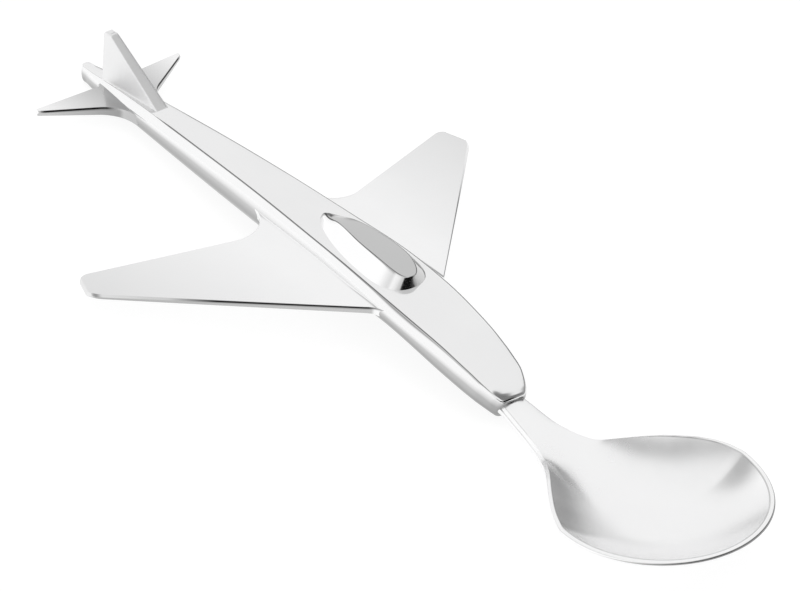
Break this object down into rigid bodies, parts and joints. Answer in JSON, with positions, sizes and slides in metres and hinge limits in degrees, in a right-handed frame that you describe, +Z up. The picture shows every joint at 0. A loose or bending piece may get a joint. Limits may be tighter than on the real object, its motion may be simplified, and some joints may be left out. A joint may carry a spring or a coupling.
{
  "type": "baby spoon",
  "caption": "Polished silver baby spoon whose handle is a small aeroplane with swept wings, a canopy and a tail, its nose running into a round oval bowl.",
  "frame": {"origin": "on the table under the middle of the spoon: the bottom centre of its bounding box as it rests on its bowl and its tail", "axes": "+X from the tail to the tip of the bowl, +Y towards the right wing seen from above with the bowl ahead and the left wing towards the viewer of the picture, +Z up from the table"},
  "size_m": [0.1494, 0.0666, 0.012],
  "materials": {
    "silver_body": "polished silver plate",
    "silver_wing": "polished silver plate",
    "silver_canopy": "polished silver plate",
    "silver_tail": "polished silver plate",
    "silver_bowl": "polished silver plate",
    "solder": "dull solder"
  },
  "bodies": {
    "root": {"fuselage": "silver_body", "left_wing": "silver_wing", "right_wing": "silver_wing", "canopy": "silver_canopy", "tail_fin": "silver_tail", "left_tailplane": "silver_tail", "right_tailplane": "silver_tail", "spoon_head": "silver_bowl", "tang_solder": "solder"}
  },
  "joints": []
}
